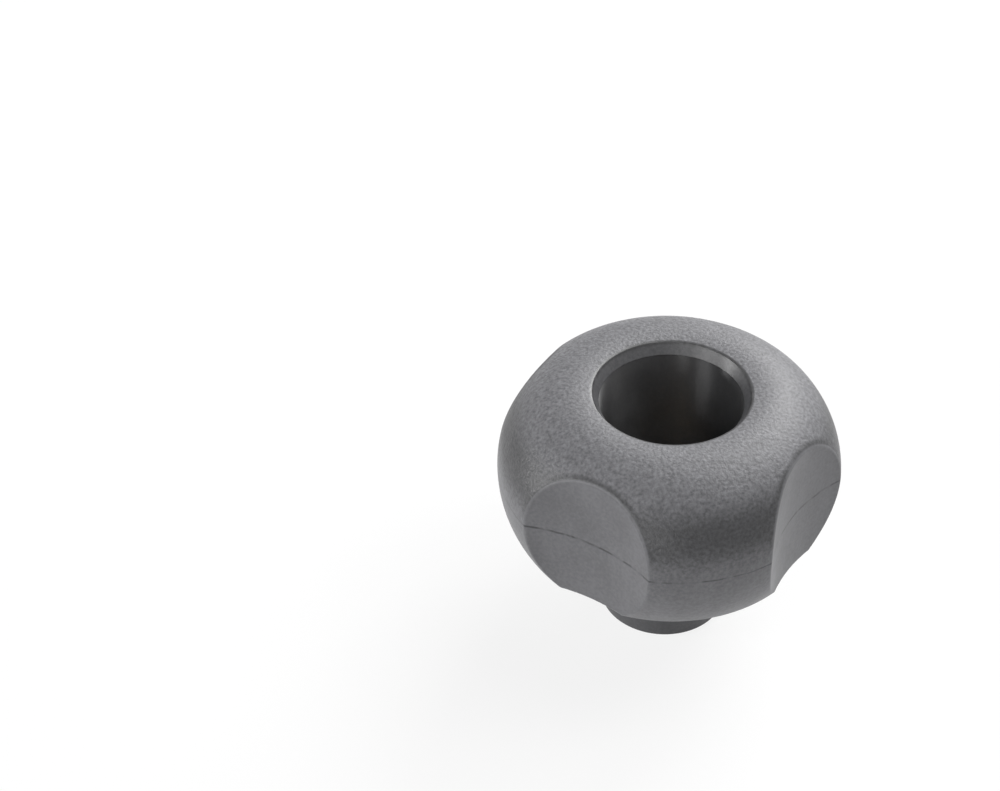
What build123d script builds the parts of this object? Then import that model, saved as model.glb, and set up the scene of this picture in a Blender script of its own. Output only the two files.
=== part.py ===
from build123d import *
import os
from math import asin, cos, degrees, radians, sin, tan

# Four-lobed hand knob, moulded round a threaded brass insert, with a recess above the insert
# that a closing cap can be pressed into. Millimetres, +Z up, origin at the centre of the hub's
# end face. Two lobes lie on the X axis and two on the Y axis.

# Lobed head: a turned outline whose sides bulge out to the parting plane
LOBE_DIAMETER = 50.0        # across two opposite lobes, at the parting plane
SHOULDER_RADIUS = 16.1      # arc from the parting plane up to the crown
SHOULDER_SWEEP = 39.0       # degrees of that arc
CROWN_RADIUS = 9.9          # arc that rolls over the top and down to the mouth of the recess
BELLY_RADIUS = 19.6         # arc from the parting plane down to the underside
BELLY_SWEEP = 34.1          # degrees of that arc
LOWER_EDGE_RADIUS = 0.6     # rounding between belly and underside

# Four finger scallops, each an upright hollow between two lobes
SCALLOP_COUNT = 4
SCALLOP_RADIUS = 26.5
SCALLOP_DEPTH = 4.3         # below the lobes' circle, at the parting plane
SCALLOP_EDGE_RADIUS = 0.45

# Hub under the head, which bears on the clamped part
HUB_DIAMETER = 18.6         # at the end face
HUB_LENGTH = 15.75          # end face to underside of the head
HUB_DRAFT = 1.0             # degrees, wider towards the head
HUB_CHAMFER = 0.5
HUB_ROOT_RADIUS = 1.2

# Mouth with a lead-in cone and a straight land for a closing cap, then the recess down to the insert
MOUTH_DIAMETER = 22.8
MOUTH_RADIUS = 0.3          # rounding of the mouth's edge
LEAD_IN_DEPTH = 1.65        # cone from the mouth down to the land
RECESS_DIAMETER = 20.8      # at the land
LAND_HEIGHT = 2.0
RECESS_DRAFT = 0.5          # degrees, from the land down, narrower towards the floor
RECESS_FLOOR_CHAMFER = 2.2  # slope between wall and floor

# Brass insert: flush with the recess floor and with the hub's end face
INSERT_DIAMETER = 12.0
INSERT_LENGTH = 19.0
THREAD_MINOR_DIAMETER = 8.376   # M10 x 1.5; the bore is plain at this diameter
COUNTERSINK_DIAMETER = 10.3
COUNTERSINK_ANGLE = 90.0
KNURL_COUNT = 24            # straight V grooves that key the insert into the moulding
KNURL_DEPTH = 0.35
KNURL_END_LAND = 2.0        # smooth length left at each end
LOCK_GROOVE_WIDTH = 2.4     # turned groove that stops the insert pulling out
LOCK_GROOVE_DEPTH = 0.5

# Places that follow from the sizes above
lobe_r = LOBE_DIAMETER / 2
mouth_r = MOUTH_DIAMETER / 2
recess_r = RECESS_DIAMETER / 2
hub_r = HUB_DIAMETER / 2
underside_z = HUB_LENGTH
floor_z = INSERT_LENGTH
parting_z = underside_z + BELLY_RADIUS * sin(radians(BELLY_SWEEP))
belly_centre_r = lobe_r - BELLY_RADIUS
shoulder_centre_r = lobe_r - SHOULDER_RADIUS
crown_centre_r = shoulder_centre_r + (SHOULDER_RADIUS - CROWN_RADIUS) * cos(radians(SHOULDER_SWEEP))
crown_centre_z = parting_z + (SHOULDER_RADIUS - CROWN_RADIUS) * sin(radians(SHOULDER_SWEEP))
mouth_angle = 90 + degrees(asin((crown_centre_r - mouth_r) / CROWN_RADIUS))
top_z = crown_centre_z + CROWN_RADIUS


def arc_point(centre_r: float, centre_z: float, radius: float, angle: float) -> Vector:
    """Point of an arc in the turned outline, with its angle measured up from the outward direction."""
    return Vector(centre_r + radius * cos(radians(angle)), centre_z + radius * sin(radians(angle)))


def revolved(outline: BuildSketch) -> Part:
    """Solid of revolution about the Z axis, from an outline drawn in the XZ plane."""
    return revolve(outline.sketch, Axis.Z)


def turned_moulding() -> Part:
    """Hub, head and recess as one solid of revolution, before the scallops are cut."""
    hub_root = Vector(hub_r + HUB_LENGTH * tan(radians(HUB_DRAFT)), underside_z)
    lower_edge = arc_point(belly_centre_r, parting_z, BELLY_RADIUS, -BELLY_SWEEP)
    belly_mid = arc_point(belly_centre_r, parting_z, BELLY_RADIUS, -BELLY_SWEEP / 2)
    widest = Vector(lobe_r, parting_z)
    shoulder_mid = arc_point(shoulder_centre_r, parting_z, SHOULDER_RADIUS, SHOULDER_SWEEP / 2)
    shoulder_top = arc_point(shoulder_centre_r, parting_z, SHOULDER_RADIUS, SHOULDER_SWEEP)
    crown_mid = arc_point(
        crown_centre_r, crown_centre_z, CROWN_RADIUS, (SHOULDER_SWEEP + mouth_angle) / 2
    )
    mouth = arc_point(crown_centre_r, crown_centre_z, CROWN_RADIUS, mouth_angle)
    land_top_z = mouth.Y - LEAD_IN_DEPTH
    land_low_z = land_top_z - LAND_HEIGHT
    floor_corner = Vector(recess_r - (land_low_z - floor_z) * tan(radians(RECESS_DRAFT)), floor_z)
    with BuildSketch(Plane.XZ) as outline:
        with BuildLine():
            Polyline((0, floor_z), (0, 0), (hub_r, 0), hub_root, lower_edge)
            ThreePointArc(lower_edge, belly_mid, widest)
            ThreePointArc(widest, shoulder_mid, shoulder_top)
            ThreePointArc(shoulder_top, crown_mid, mouth)
            Polyline(
                mouth,
                (recess_r, land_top_z),
                (recess_r, land_low_z),
                floor_corner,
                (0, floor_z),
            )
        make_face()
        for corner, radius in (
            (hub_root, HUB_ROOT_RADIUS),
            (lower_edge, LOWER_EDGE_RADIUS),
            (mouth, MOUTH_RADIUS),
        ):
            fillet(outline.vertices().sort_by_distance(corner)[0], radius)
        for corner, length in ((Vector(hub_r, 0), HUB_CHAMFER), (floor_corner, RECESS_FLOOR_CHAMFER)):
            chamfer(outline.vertices().sort_by_distance(corner)[0], length)
    return revolved(outline)


def scallop_cutters() -> list:
    """Upright cylinders that hollow the sides between the lobes."""
    centre_distance = lobe_r - SCALLOP_DEPTH + SCALLOP_RADIUS
    half_pitch = 180 / SCALLOP_COUNT
    cutter = Cylinder(
        SCALLOP_RADIUS, top_z - underside_z, align=(Align.CENTER, Align.CENTER, Align.MIN)
    )
    places = PolarLocations(centre_distance, SCALLOP_COUNT, half_pitch)
    return [Pos(0, 0, underside_z) * place * cutter for place in places]


def insert_blank() -> Part:
    """Outside of the insert: turned bar with a locking groove and two knurled bands."""
    radius = INSERT_DIAMETER / 2
    groove_floor_r = radius - LOCK_GROOVE_DEPTH
    groove_low = (INSERT_LENGTH - LOCK_GROOVE_WIDTH) / 2
    groove_high = groove_low + LOCK_GROOVE_WIDTH
    with BuildSketch(Plane.XZ) as outline:
        with BuildLine():
            Polyline(
                (0, 0),
                (radius, 0),
                (radius, groove_low),
                (groove_floor_r, groove_low),
                (groove_floor_r, groove_high),
                (radius, groove_high),
                (radius, INSERT_LENGTH),
                (0, INSERT_LENGTH),
                close=True,
            )
        make_face()
    v_outline = Polygon((0, 0), (KNURL_DEPTH, -KNURL_DEPTH), (KNURL_DEPTH, KNURL_DEPTH), align=None)
    bands = ((KNURL_END_LAND, groove_low), (groove_high, INSERT_LENGTH - KNURL_END_LAND))
    grooves = []
    for low, high in bands:
        groove = extrude(v_outline, high - low)
        for place in PolarLocations(radius - KNURL_DEPTH, KNURL_COUNT):
            grooves.append(Pos(0, 0, low) * place * groove)
    return revolved(outline) - grooves


def insert_bore() -> Part:
    """Space inside the insert: plain bore at the thread's minor diameter, countersunk at both ends."""
    bore_r = THREAD_MINOR_DIAMETER / 2
    sink_r = COUNTERSINK_DIAMETER / 2
    sink_depth = (sink_r - bore_r) / tan(radians(COUNTERSINK_ANGLE / 2))
    with BuildSketch(Plane.XZ) as outline:
        with BuildLine():
            Polyline(
                (0, 0),
                (sink_r, 0),
                (bore_r, sink_depth),
                (bore_r, INSERT_LENGTH - sink_depth),
                (sink_r, INSERT_LENGTH),
                (0, INSERT_LENGTH),
                close=True,
            )
        make_face()
    return revolved(outline)


def brass_insert() -> Part:
    """Bush that the moulding holds by its knurls and its locking groove."""
    return insert_blank() - insert_bore()


def knob_body() -> Part:
    """Moulding with its scallops, their rounded edges and the cavity that the insert fills."""
    body = turned_moulding() - scallop_cutters()
    scallop_edges = ShapeList()
    for face in body.faces().filter_by(GeomType.CYLINDER):
        if abs(face.radius - SCALLOP_RADIUS) < 0.01:
            scallop_edges += face.edges()
    return fillet(scallop_edges, SCALLOP_EDGE_RADIUS) - insert_blank()


os.makedirs("parts", exist_ok=True)
export_step(knob_body(), "parts/knob_body.step")
export_step(brass_insert(), "parts/brass_insert.step")
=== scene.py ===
import bmesh
import bpy
from math import cos, pi, radians, sin
from mathutils import Matrix, Vector
from types import SimpleNamespace


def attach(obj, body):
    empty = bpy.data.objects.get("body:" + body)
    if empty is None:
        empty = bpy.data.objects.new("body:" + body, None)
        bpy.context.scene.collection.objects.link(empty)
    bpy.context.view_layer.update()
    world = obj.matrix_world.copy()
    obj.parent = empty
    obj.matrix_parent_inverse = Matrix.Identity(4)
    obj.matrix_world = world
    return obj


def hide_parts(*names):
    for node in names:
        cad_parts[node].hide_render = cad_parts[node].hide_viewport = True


# Looks of the four-lobed hand knob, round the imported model. Metres, +Z up, origin at the centre
# of the hub's end face, lobes on the X and Y axes.

# Camera, measured from the photograph
VIEW_AZIMUTH = -10.93       # degrees, 0 looks along +Y
VIEW_ELEVATION = 40.13
VIEW_LEAN = -0.67
SENSOR_WIDTH = 36.0         # millimetres
FOCAL_PIXELS = 2375.6
PIVOT = Vector((0, 0, 0.02674))     # on the knob's axis at the parting plane
PIVOT_PIXEL = (668.45, 462.64)      # where the photograph shows it
PIVOT_DEPTH = 0.3468
PHOTO_SIZE = (1000, 791)

# Moulding, as its solid has it
SCALLOP_CENTRE = 0.033375   # of each scallop's cylinder, along X and along Y
SCALLOP_RADIUS = 0.0265
MOUTH_RADIUS = 0.0114
LEAD_IN_Z = 0.038615        # lower end of the cone in the mouth
PARTING_Z = 0.026739
UNDERSIDE_Z = 0.01575       # of the head
FLOOR_Z = 0.019             # of the recess, where the insert ends

# Insert with its real thread
INSERT_RADIUS = 0.006
INSERT_LENGTH = FLOOR_Z
THREAD_PITCH = 0.0015
THREAD_MINOR = 0.004188     # radius at its crests
THREAD_MAJOR = 0.005        # radius at its roots
FLANK_STEPS = 5
SINK_RADIUS = 0.00515       # of each countersink, at the end face
KNURL_COUNT = 24
KNURL_DEPTH = 0.00035
KNURL_LAND = 0.002          # smooth length left at each end
GROOVE_WIDTH = 0.0024
GROOVE_DEPTH = 0.0005
MERGE_DISTANCE = 1e-7
SHORTEST_EDGE = 1e-8
SHARP_ANGLE = 25            # degrees, over which an edge is drawn sharp

# Regions of the moulding: where each fade begins and ends
CUT_FADE = (0.0001, 0.0004)         # away from the surface of a scallop or the edge of the mouth
FRINGE_FADE = (0.0004, 0.0011)      # away from the surface of a scallop
GRAIN_FADE = (PARTING_Z - 0.0005, PARTING_Z + 0.0045)
BAND_FADE = (PARTING_Z + 0.001, PARTING_Z + 0.006)
CROWN_FADE = (PARTING_Z + 0.0075, PARTING_Z + 0.0115)
HUB_FADE = (UNDERSIDE_Z - 0.0012, UNDERSIDE_Z - 0.0002)
CONE_FADE = (LEAD_IN_Z - 0.00005, LEAD_IN_Z + 0.00005)
WALL_FADE = (FLOOR_Z - 0.001, FLOOR_Z)

# Thin dark lines, painted shade round the mouth's edge and under its cone and the mould's own parting
# line: where each fades beside its middle
RIM_LINE_FADE = (0.0001, 0.00032)   # round the edge of the mouth
RIM_LINE_FROM = (LEAD_IN_Z + 0.001, LEAD_IN_Z + 0.0012)
CONE_LINE_FADE = (0.00005, 0.0002)
CONE_LINE_Z = LEAD_IN_Z - 0.0001
CONE_LINE_REACH = (0.0, 0.0002)     # outward from the edge of the mouth
PARTING_LINE_CORE = 0.00005
PARTING_LINE_REACH = 0.0003         # in the scallops
PARTING_LINE_LESS = 0.0001          # how much shorter it reaches outside them
PARTING_LINE_FAINTER = 0.2          # how much fainter it is outside them
PARTING_LINE_WAVER = 0.0004         # between its lowest and highest place

# Breaks in the lines: noise levels where they are faintest and full, and their faintest strength
EDGE_BREAKS = (0.32, 0.55, 0.35)
PARTING_BREAKS = (0.36, 0.58, 0.12)

# Noise levels where each pattern has its one look and its other
PIT_LEVELS = (0.15, 0.85)
SMEAR_LEVELS = (0.25, 0.75)
FRINGE_LEVELS = (0.25, 0.5)
GLOSS_LEVELS = (0.3, 0.7)

# Sizes of the blotches in the patterns, and how far two of them are drawn out upright
GRAIN_SIZE = 0.0005
MOTTLE_SIZE = 0.0035
STREAK_SIZE = 0.0006
SMUDGE_SIZE = 0.006
EDGE_BREAK_SIZE = 0.0012
PARTING_BREAK_SIZE = 0.0025
WAVER_SIZE = 0.004
BRASS_PATCH_SIZE = 0.0016
TOOL_MARK_SIZE = 0.00008
STREAK_STRETCH = (1, 1, 0.08)
SMUDGE_STRETCH = (1, 1, 0.5)
SMUDGE_SHARE = 0.65         # in the plain skin's pattern; the rest is its pits

# Lightness of the polymer, darkest and lightest, where it is grained and where it is plain
SPECKLE_GREYS = (0.054, 0.160)
PLAIN_GREYS = (0.098, 0.136)
CONE_SPECKLE = 0.6          # how far the cone's colour is speckled

# What the polymer's colour is multiplied by, from region to region: random mottle and the parting
# line, painted shade on band, fringe, hub, cone, wall and mouth lines, painted light on the crown
MOTTLE_TINTS = (0.94, 1.05)
BAND_PAINTED_SHADE = 0.40            # painted shade: dark band above the parting plane
# painted light: the crown made lighter
CROWN_PAINTED_LIGHT = 1.16
FRINGE_PAINTED_SHADE = 0.4           # painted shade on the skin along the upper edges of the scallops
# painted shade on the hub, under the head
HUB_PAINTED_SHADE = 0.62
# painted shade on the cone in the mouth
CONE_PAINTED_SHADE = 0.54
WALL_PAINTED_SHADE = 0.34            # painted shade in the recess, down to its floor
# painted shade in the lines round the mouth's edge and under its cone
EDGE_LINE_PAINTED_SHADE = 0.18
PARTING_LINE_TINT = 0.35

# Gloss of the polymer, and what crown, cone and wall add to it
ROUGHNESS = (0.39, 0.44)
CROWN_ROUGHNESS = 0.09
WALL_ROUGHNESS = -0.03
SPECULAR = 0.4
CONE_SPECULAR = 0.2
WALL_SPECULAR = 0.4
STRETCH_TURN = 0.25         # of a full turn, for the highlights on the wall

# Relief of the polymer, and how much of its grain the smoother skin keeps
RELIEF_DEPTH = 0.00011
STREAK_RELIEF = 0.06
LOWER_GRAIN = 0.25          # below the parting plane
PLAIN_GRAIN = 0.1           # in the scallops and the recess

# Brass, from its bright patches to its dull ones
BRASS_COLOURS = ((0.62, 0.47, 0.29, 1), (0.54, 0.38, 0.21, 1))
BRASS_ROUGHNESS = (0.38, 0.5)
TOOL_MARK_DEPTH = 0.000006
TOOL_MARK_STRENGTH = 0.6

# Studio: share of the floor's look that is its own white, and the even light of the surroundings
FLOOR_GLOW = 0.85
FLOOR_GREY = 0.82
FLOOR_REACH = 4.0           # from the origin to each side
AMBIENT = 0.01

# Soft lights, all at one distance from the knob: azimuth, elevation, side of the box and power
LIGHT_DISTANCE = 0.8
SOFT_LIGHTS = {
    "back_key": (135, 35, 0.45, 7.2),
    "back_top": (120, 70, 0.4, 1.2),
    "right_key": (90, 45, 0.3, 1.7),
    "right_top": (75, 60, 0.35, 1.5),
    "left_low": (262, 6, 0.12, 3.0),
    "left_front": (296, 25, 0.28, 2.0),
    "front_low": (330, 8, 0.2, 1.4),
}


def way(azimuth: float, elevation: float) -> Vector:
    """Direction from the knob to a place round it. Azimuth 0 is in front, 90 on the +X side."""
    around = radians(azimuth)
    up = radians(elevation)
    return Vector((sin(around) * cos(up), -cos(around) * cos(up), sin(up)))


def photo_camera():
    """Camera at the photograph's viewing angle, with the knob where the photograph has it."""
    back = way(VIEW_AZIMUTH, VIEW_ELEVATION)
    lean = Matrix.Rotation(radians(VIEW_LEAN), 3, "Z")
    turn = (-back).to_track_quat("-Z", "Y").to_matrix() @ lean
    data = bpy.data.cameras.new("photo_camera")
    data.sensor_width = SENSOR_WIDTH
    data.lens = SENSOR_WIDTH * FOCAL_PIXELS / PHOTO_SIZE[0]
    data.clip_start = 0.01
    data.clip_end = 20.0
    camera = bpy.data.objects.new("photo_camera", data)
    across = (PIVOT_PIXEL[0] - PHOTO_SIZE[0] / 2) / FOCAL_PIXELS * PIVOT_DEPTH
    below = (PIVOT_PIXEL[1] - PHOTO_SIZE[1] / 2) / FOCAL_PIXELS * PIVOT_DEPTH
    place = PIVOT + turn @ Vector((-across, below, PIVOT_DEPTH))
    camera.matrix_world = Matrix.Translation(place) @ turn.to_4x4()
    bpy.context.scene.collection.objects.link(camera)
    bpy.context.scene.camera = camera


class Nodes:
    """Shorthand for building a material's node tree."""

    def __init__(self, name: str):
        self.material = bpy.data.materials.new(name)
        self.material.use_nodes = True
        self.tree = self.material.node_tree
        self.shader = self.tree.nodes["Principled BSDF"]
        self.output = self.tree.nodes["Material Output"]

    def add(self, kind: str, inputs=None, **settings):
        """New node, with its settings, and its inputs set or linked by name or number."""
        node = self.tree.nodes.new(kind)
        for key, value in settings.items():
            setattr(node, key, value)
        for key, value in (inputs or {}).items():
            self.put(node.inputs[key], value)
        return node

    def put(self, socket, value):
        """Links a socket, or sets its value."""
        if isinstance(value, bpy.types.NodeSocket):
            self.tree.links.new(value, socket)
        else:
            socket.default_value = value

    def maths(self, operation: str, *values, clamp: bool = False):
        """Result of one operation on values."""
        node = self.add("ShaderNodeMath", dict(enumerate(values)), operation=operation)
        node.use_clamp = clamp
        return node.outputs[0]

    def product(self, first, *others):
        """Values multiplied one by one."""
        for other in others:
            first = self.maths("MULTIPLY", first, other)
        return first

    def away(self, value, middle):
        """How far a value is from a middle one, either way."""
        return self.maths("ABSOLUTE", self.maths("SUBTRACT", value, middle))

    def vector(self, operation: str, *values):
        """Result of one operation on vectors: a value for a distance or length, else a vector."""
        node = self.add("ShaderNodeVectorMath", dict(enumerate(values)), operation=operation)
        return node.outputs["Value"] if operation in ("DISTANCE", "LENGTH") else node.outputs[0]

    def ramp(self, value, low, high, to_low: float = 0.0, to_high: float = 1.0):
        """Smooth change from to_low to to_high while the value goes from low to high."""
        node = self.add("ShaderNodeMapRange", {0: value, 1: low, 2: high, 3: to_low, 4: to_high})
        node.interpolation_type = "SMOOTHSTEP"
        return node.outputs[0]

    def fall(self, value, low, high):
        """Smooth change from 1 to 0 while the value goes from low to high."""
        return self.ramp(value, low, high, 1.0, 0.0)

    def noise(self, place, size: float, detail: float = 3.0, roughness: float = 0.55):
        """Noise between 0 and 1 whose blotches are about the given size across, in metres."""
        inputs = {"Vector": place, "Scale": 1 / size, "Detail": detail, "Roughness": roughness}
        return self.add("ShaderNodeTexNoise", inputs).outputs[0]

    def blend(self, share, first, second, **settings):
        """Colour that goes from the first to the second with the share."""
        node = self.add("ShaderNodeMix", data_type="RGBA", **settings)
        self.put(node.inputs[0], share)
        self.put(node.inputs[6], first)
        self.put(node.inputs[7], second)
        return node.outputs[2]

    def bump(self, relief, strength: float, depth: float):
        """Gives the shader a relief that rises by the depth while its value goes from 0 to 1."""
        inputs = {"Height": relief, "Strength": strength, "Distance": depth}
        self.put(self.shader.inputs["Normal"], self.add("ShaderNodeBump", inputs).outputs[0])


def grey(value: float) -> tuple:
    """Colour of the polymer at a given lightness: a hair cooler than neutral."""
    return (value, value, value * 1.03, 1.0)


def moulding_regions(n: Nodes) -> SimpleNamespace:
    """Where a point of the moulding lies: its measures, and each region as 1 in it and 0 outside."""
    place = n.add("ShaderNodeTexCoord").outputs["Object"]
    height = n.add("ShaderNodeSeparateXYZ", {0: place}).outputs["Z"]
    flat = n.vector("MULTIPLY", place, (1, 1, 0))
    scallop_axis = (SCALLOP_CENTRE, SCALLOP_CENTRE, 0)
    from_axis = n.vector("DISTANCE", n.vector("ABSOLUTE", flat), scallop_axis)
    past_scallop = n.maths("SUBTRACT", from_axis, SCALLOP_RADIUS)
    past_mouth = n.maths("SUBTRACT", n.vector("LENGTH", flat), MOUTH_RADIUS)
    off_scallop = n.ramp(past_scallop, *CUT_FADE)
    off_recess = n.ramp(past_mouth, *CUT_FADE)
    in_recess = n.maths("SUBTRACT", 1.0, off_recess)
    below_cone = n.fall(height, *CONE_FADE)
    skin = n.product(off_scallop, off_recess)
    return SimpleNamespace(
        place=place,
        height=height,
        flat=flat,
        past_scallop=past_scallop,
        past_mouth=past_mouth,
        off_scallop=off_scallop,
        rough_skin=n.product(skin, n.ramp(height, *GRAIN_FADE, LOWER_GRAIN, 1.0)),
        # painted shade on the band and the hub, painted light on the crown; the crown also sets the
        # gloss
        painted_shade_band=n.product(skin, n.ramp(height, *BAND_FADE)),
        crown=n.product(skin, n.ramp(height, *CROWN_FADE)),
        hub=n.fall(height, *HUB_FADE),
        # the cone and the wall carry painted shade, and also set speckle, gloss and stretched
        # highlights
        cone=n.product(in_recess, n.ramp(height, *CONE_FADE)),
        wall=n.product(in_recess, n.ramp(height, *WALL_FADE), below_cone),
    )


def scallop_edge_shade(n: Nodes, at: SimpleNamespace, mottle):
    """1 on the skin along the upper edges of the scallops, uneven along them, and 0 elsewhere: where
    shade is painted.
    """
    near = n.fall(at.past_scallop, *FRINGE_FADE)
    return n.product(at.painted_shade_band, near, n.ramp(mottle, *FRINGE_LEVELS))


def painted_edge_shade(n: Nodes, at: SimpleNamespace):
    """1 on the thin uneven lines of painted shade round the mouth's edge and under its cone, 0 beside
    them.
    """
    rim = n.fall(n.maths("ABSOLUTE", at.past_mouth), *RIM_LINE_FADE)
    high = n.ramp(at.height, *RIM_LINE_FROM)
    under_cone = n.fall(n.away(at.height, CONE_LINE_Z), *CONE_LINE_FADE)
    near_wall = n.fall(at.past_mouth, *CONE_LINE_REACH)
    lines = n.maths("ADD", n.product(rim, high), n.product(under_cone, near_wall))
    breaks = n.ramp(n.noise(at.place, EDGE_BREAK_SIZE, 3.0, 0.6), *EDGE_BREAKS)
    return n.maths("MULTIPLY", lines, breaks, clamp=True)


def parting_line(n: Nodes, at: SimpleNamespace):
    """Thin broken line that the two halves of the mould left, clearer and wider in the scallops."""
    waver = n.noise(at.flat, WAVER_SIZE, 2.0, 0.5)
    lowest = PARTING_Z - PARTING_LINE_WAVER / 2
    level = n.maths("MULTIPLY_ADD", waver, PARTING_LINE_WAVER, lowest)
    reach = n.maths("MULTIPLY_ADD", at.off_scallop, -PARTING_LINE_LESS, PARTING_LINE_REACH)
    line = n.fall(n.away(at.height, level), PARTING_LINE_CORE, reach)
    breaks = n.ramp(n.noise(at.place, PARTING_BREAK_SIZE, 2.0, 0.6), *PARTING_BREAKS)
    strength = n.maths("MULTIPLY_ADD", at.off_scallop, -PARTING_LINE_FAINTER, 1.0)
    return n.product(line, breaks, strength)


def polymer_colour(n: Nodes, at: SimpleNamespace, grain):
    """Colour before it is tinted: speckled where the skin is grained, smudged where it is plain."""
    pits = n.ramp(grain, *PIT_LEVELS)
    speckled = n.blend(pits, *map(grey, SPECKLE_GREYS))
    drawn_out = n.vector("MULTIPLY", at.place, SMUDGE_STRETCH)
    smudges = n.product(n.noise(drawn_out, SMUDGE_SIZE, 2.0, 0.5), SMUDGE_SHARE)
    smeared = n.maths("MULTIPLY_ADD", pits, 1 - SMUDGE_SHARE, smudges)
    plain = n.blend(n.ramp(smeared, *SMEAR_LEVELS), *map(grey, PLAIN_GREYS))
    grained = n.maths("MULTIPLY_ADD", at.cone, CONE_SPECKLE, at.rough_skin)
    return n.blend(grained, plain, speckled)


def tint_and_painted_light(n: Nodes, at: SimpleNamespace, mottle):
    """What the colour is multiplied by, one region laid over the other: random mottle and the parting
    line, with painted shade and a painted lighter crown.
    """
    layers = (
        (at.painted_shade_band, BAND_PAINTED_SHADE),
        (at.crown, CROWN_PAINTED_LIGHT),
        (scallop_edge_shade(n, at, mottle), FRINGE_PAINTED_SHADE),
        (at.hub, HUB_PAINTED_SHADE),
        (at.cone, CONE_PAINTED_SHADE),
        (at.wall, WALL_PAINTED_SHADE),
        (painted_edge_shade(n, at), EDGE_LINE_PAINTED_SHADE),
        (parting_line(n, at), PARTING_LINE_TINT),
    )
    tint = n.blend(mottle, *map(grey, MOTTLE_TINTS))
    for region, value in layers:
        tint = n.blend(region, tint, grey(value))
    return tint


def polymer_gloss(n: Nodes, at: SimpleNamespace, mottle):
    """Duller crown, glossier cone, and a recess whose upright marks stretch its highlights."""
    roughness = n.ramp(mottle, *GLOSS_LEVELS, *ROUGHNESS)
    roughness = n.maths("MULTIPLY_ADD", at.crown, CROWN_ROUGHNESS, roughness)
    roughness = n.maths("MULTIPLY_ADD", at.wall, WALL_ROUGHNESS, roughness)
    n.put(n.shader.inputs["Roughness"], roughness)
    specular = n.maths("MULTIPLY_ADD", at.wall, WALL_SPECULAR, SPECULAR)
    specular = n.maths("MULTIPLY_ADD", at.cone, CONE_SPECULAR, specular)
    n.put(n.shader.inputs["Specular IOR Level"], specular)
    n.put(n.shader.inputs["Anisotropic"], at.wall)
    n.shader.inputs["Anisotropic Rotation"].default_value = STRETCH_TURN
    round_axis = n.add("ShaderNodeTangent", direction_type="RADIAL", axis="Z")
    n.put(n.shader.inputs["Tangent"], round_axis.outputs[0])


def polymer_relief(n: Nodes, at: SimpleNamespace, grain):
    """Relief of the grain, strong on the rough skin, and of faint upright streaks."""
    drawn_out = n.vector("MULTIPLY", at.place, STREAK_STRETCH)
    streaks = n.noise(drawn_out, STREAK_SIZE, 3.0, 0.6)
    kept = n.maths("MULTIPLY_ADD", at.rough_skin, 1 - PLAIN_GRAIN, PLAIN_GRAIN)
    relief = n.maths("MULTIPLY_ADD", streaks, STREAK_RELIEF, n.product(grain, kept))
    n.bump(relief, 1.0, RELIEF_DEPTH)


def moulded_polymer() -> bpy.types.Material:
    """Black glass-filled polymer: grained on crown and shoulders, smoother in scallops and recess."""
    n = Nodes("moulded_polymer")
    at = moulding_regions(n)
    grain = n.noise(at.place, GRAIN_SIZE)
    mottle = n.noise(at.place, MOTTLE_SIZE)
    colour = polymer_colour(n, at, grain)
    painted_and_tinted_colour = n.blend(1.0, colour, tint_and_painted_light(n, at, mottle), blend_type="MULTIPLY")
    n.put(n.shader.inputs["Base Color"], painted_and_tinted_colour)
    polymer_gloss(n, at, mottle)
    polymer_relief(n, at, grain)
    return n.material


def bright_brass() -> bpy.types.Material:
    """Turned brass: fine tool marks round the axis, with slightly duller patches."""
    n = Nodes("bright_brass")
    place = n.add("ShaderNodeTexCoord").outputs["Object"]
    height = n.add("ShaderNodeSeparateXYZ", {0: place}).outputs["Z"]
    radius = n.vector("LENGTH", n.vector("MULTIPLY", place, (1, 1, 0)))
    patches = n.noise(place, BRASS_PATCH_SIZE)
    rings = n.add("ShaderNodeCombineXYZ", {0: n.maths("ADD", radius, height)}).outputs[0]
    n.put(n.shader.inputs["Base Color"], n.blend(patches, *BRASS_COLOURS))
    n.shader.inputs["Metallic"].default_value = 1.0
    n.put(n.shader.inputs["Roughness"], n.ramp(patches, *GLOSS_LEVELS, *BRASS_ROUGHNESS))
    n.bump(n.noise(rings, TOOL_MARK_SIZE, 3.0, 0.7), TOOL_MARK_STRENGTH, TOOL_MARK_DEPTH)
    return n.material


def seen_directly(tree: bpy.types.NodeTree):
    """1 where it is looked at, also in a reflection or through glass, 0 where it only lights."""
    path = tree.nodes.new("ShaderNodeLightPath")
    total = path.outputs["Is Camera Ray"]
    for kind in ("Is Glossy Ray", "Is Transmission Ray"):
        node = tree.nodes.new("ShaderNodeMath")
        node.operation = "MAXIMUM"
        tree.links.new(total, node.inputs[0])
        tree.links.new(path.outputs[kind], node.inputs[1])
        total = node.outputs[0]
    return total


def pale_floor():
    """White table that keeps a soft shadow of the knob."""
    n = Nodes("pale_floor")
    n.shader.inputs["Base Color"].default_value = (FLOOR_GREY, FLOOR_GREY, FLOOR_GREY, 1)
    n.shader.inputs["Roughness"].default_value = 1.0
    n.shader.inputs["Specular IOR Level"].default_value = 0.0
    glow = n.add("ShaderNodeEmission", {"Color": (1, 1, 1, 1), "Strength": 1.0})
    share = n.product(seen_directly(n.tree), FLOOR_GLOW)
    mix = n.add("ShaderNodeMixShader", {0: share, 1: n.shader.outputs[0], 2: glow.outputs[0]})
    n.put(n.output.inputs["Surface"], mix.outputs[0])
    mesh = bpy.data.meshes.new("floor")
    signs = ((-1, -1), (1, -1), (1, 1), (-1, 1))
    mesh.from_pydata([(x * FLOOR_REACH, y * FLOOR_REACH, 0) for x, y in signs], [], [(0, 1, 2, 3)])
    mesh.materials.append(n.material)
    floor = bpy.data.objects.new("floor", mesh)
    bpy.context.scene.collection.objects.link(floor)


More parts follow.
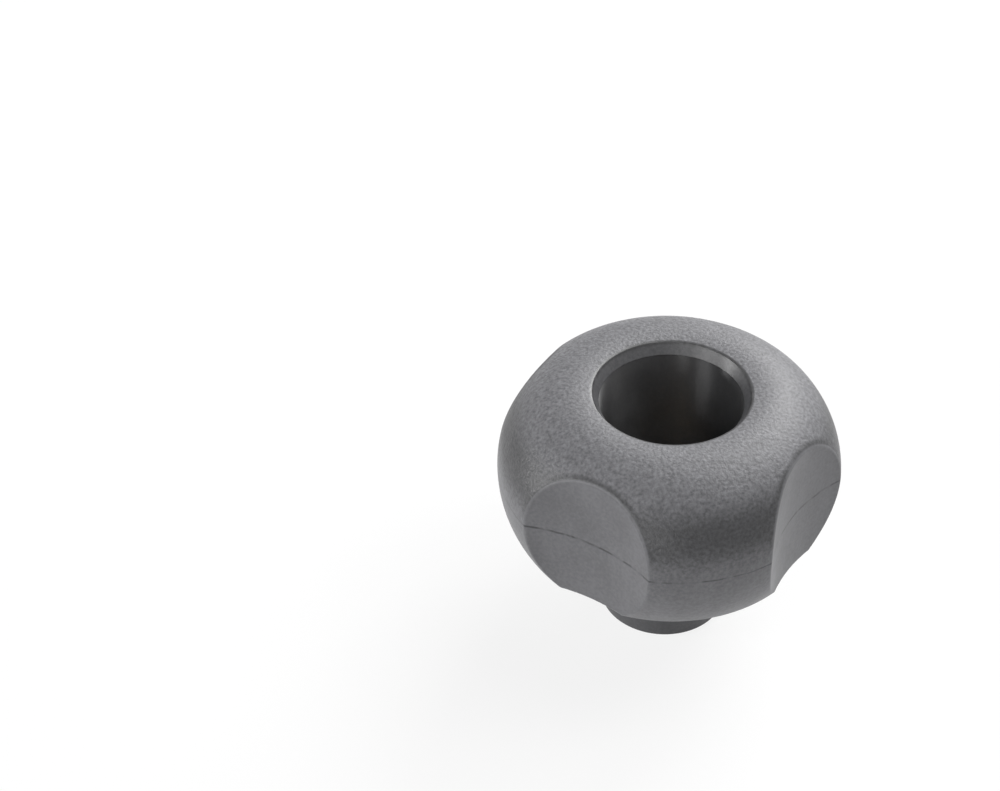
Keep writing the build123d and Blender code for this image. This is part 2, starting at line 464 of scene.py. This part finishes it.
def studio_surroundings():
    """White surroundings to look at, with a plain even light of their own."""
    world = bpy.data.worlds.new("studio")
    world.use_nodes = True
    tree = world.node_tree
    background = tree.nodes["Background"]
    level = tree.nodes.new("ShaderNodeMapRange")
    level.inputs[3].default_value = AMBIENT
    level.inputs[4].default_value = 1.0
    tree.links.new(seen_directly(tree), level.inputs[0])
    background.inputs["Color"].default_value = (1, 1, 1, 1)
    tree.links.new(level.outputs[0], background.inputs["Strength"])
    bpy.context.scene.world = world


def soft_light(name: str, azimuth: float, elevation: float, side: float, power: float):
    """Square softbox that faces the knob."""
    data = bpy.data.lights.new(name, "AREA")
    data.shape = "SQUARE"
    data.size = side
    data.energy = power
    light = bpy.data.objects.new(name, data)
    towards = way(azimuth, elevation)
    light.location = PIVOT + towards * LIGHT_DISTANCE
    light.rotation_mode = "QUATERNION"
    light.rotation_quaternion = towards.to_track_quat("Z", "Y")
    bpy.context.scene.collection.objects.link(light)


def insert_columns() -> list:
    """Angle and groove depth of the insert's columns: six for each knurl, five across its groove."""
    half_groove = KNURL_DEPTH / INSERT_RADIUS
    pitch = 2 * pi / KNURL_COUNT
    outline = (
        (-half_groove, 0),
        (-half_groove / 2, KNURL_DEPTH / 2),
        (0, KNURL_DEPTH),
        (half_groove / 2, KNURL_DEPTH / 2),
        (half_groove, 0),
        (pitch / 2, 0),
    )
    return [(k * pitch + offset, depth) for k in range(KNURL_COUNT) for offset, depth in outline]


def outer_rings(columns: list) -> list:
    """Outside of the insert from the bottom up: lands, knurled bands and the locking groove."""
    low = (INSERT_LENGTH - GROOVE_WIDTH) / 2
    high = low + GROOVE_WIDTH
    plain = [INSERT_RADIUS] * len(columns)
    knurled = [INSERT_RADIUS - depth for angle, depth in columns]
    groove = [INSERT_RADIUS - GROOVE_DEPTH] * len(columns)
    levels = (
        (0, plain),
        (KNURL_LAND, plain),
        (KNURL_LAND, knurled),
        (low, knurled),
        (low, groove),
        (high, groove),
        (high, knurled),
        (INSERT_LENGTH - KNURL_LAND, knurled),
        (INSERT_LENGTH - KNURL_LAND, plain),
        (INSERT_LENGTH, plain),
    )
    return [
        [(r * cos(angle), r * sin(angle), z) for r, (angle, depth) in zip(radii, columns)]
        for z, radii in levels
    ]


def thread_outline() -> list:
    """One pitch of the 60 degree thread, as heights and radii, from crest to crest."""
    crest = THREAD_PITCH / 4
    root = THREAD_PITCH / 8
    flank = (THREAD_PITCH - crest - root) / 2
    depth = THREAD_MAJOR - THREAD_MINOR
    shares = [k / FLANK_STEPS for k in range(FLANK_STEPS + 1)]
    outward = [(crest + flank * share, THREAD_MINOR + depth * share) for share in shares]
    back = crest + flank + root
    inward = [(back + flank * share, THREAD_MAJOR - depth * share) for share in shares[:-1]]
    return [(0, THREAD_MINOR)] + outward + inward


def bore_column(angle: float, outline: list) -> list:
    """Points up the bore at one angle: thread turn by turn, cut off at the ends, countersunk."""
    rise = THREAD_PITCH * (angle % (2 * pi)) / (2 * pi)
    points = []
    for turn in range(-1, int(INSERT_LENGTH / THREAD_PITCH) + 2):
        for offset, radius in outline:
            z = min(max(turn * THREAD_PITCH + offset + rise, 0), INSERT_LENGTH)
            radius = max(radius, SINK_RADIUS - min(z, INSERT_LENGTH - z))
            points.append((radius * cos(angle), radius * sin(angle), z))
    return points


def insert_mesh() -> bpy.types.Mesh:
    """Helical thread, countersinks, knurls and locking groove as one closed mesh."""
    columns = insert_columns()
    outline = thread_outline()
    work = bmesh.new()
    rings = [[work.verts.new(point) for point in ring] for ring in outer_rings(columns)]
    bore = []
    for angle, depth in columns:
        bore.append([work.verts.new(point) for point in bore_column(angle, outline)])
    last = len(bore[0]) - 1
    for i in range(len(columns)):
        j = (i + 1) % len(columns)
        for lower, upper in zip(rings, rings[1:]):
            work.faces.new((lower[i], lower[j], upper[j], upper[i]))
        # After a full turn the helix begins again, one pitch lower
        shift = len(outline) if columns[j][0] % (2 * pi) < columns[i][0] % (2 * pi) else 0
        for row in range(last):
            low = min(row + shift, last)
            high = min(row + 1 + shift, last)
            corners = (bore[i][row], bore[i][row + 1], bore[j][high], bore[j][low])
            if len(set(corners)) == len(corners):
                work.faces.new(corners)
        for ring, row in ((rings[0], 0), (rings[-1], last)):
            work.faces.new((ring[i], ring[j], bore[j][row], bore[i][row]))
    bmesh.ops.remove_doubles(work, verts=work.verts, dist=MERGE_DISTANCE)
    bmesh.ops.dissolve_degenerate(work, edges=work.edges, dist=SHORTEST_EDGE)
    bmesh.ops.recalc_face_normals(work, faces=work.faces)
    mesh = bpy.data.meshes.new("threaded_insert")
    work.to_mesh(mesh)
    work.free()
    for face in mesh.polygons:
        face.use_smooth = True
    mesh.set_sharp_from_angle(angle=radians(SHARP_ANGLE))
    return mesh


def threaded_insert():
    """Brass insert with its real thread, in place of the solid with the plain bore."""
    piece = bpy.data.objects.new("threaded_insert", insert_mesh())
    piece.data.materials.append(bright_brass())
    bpy.context.scene.collection.objects.link(piece)
    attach(piece, "root")
    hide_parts("brass_insert")


def dress_body(body: bpy.types.Object):
    """The moulding keeps its solid's mesh and gets its own material."""
    body.data.materials.clear()
    body.data.materials.append(moulded_polymer())


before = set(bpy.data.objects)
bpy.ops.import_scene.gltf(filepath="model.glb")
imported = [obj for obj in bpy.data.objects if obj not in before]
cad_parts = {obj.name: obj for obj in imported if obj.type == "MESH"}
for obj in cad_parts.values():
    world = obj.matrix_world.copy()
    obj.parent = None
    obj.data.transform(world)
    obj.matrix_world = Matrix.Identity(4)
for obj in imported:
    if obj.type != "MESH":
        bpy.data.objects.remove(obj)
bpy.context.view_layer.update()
photo_camera()
studio_surroundings()
pale_floor()
for light_name, light_setting in SOFT_LIGHTS.items():
    soft_light(light_name, *light_setting)
dress_body(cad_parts["knob_body"])
threaded_insert()
bpy.context.scene.view_settings.view_transform = "Standard"
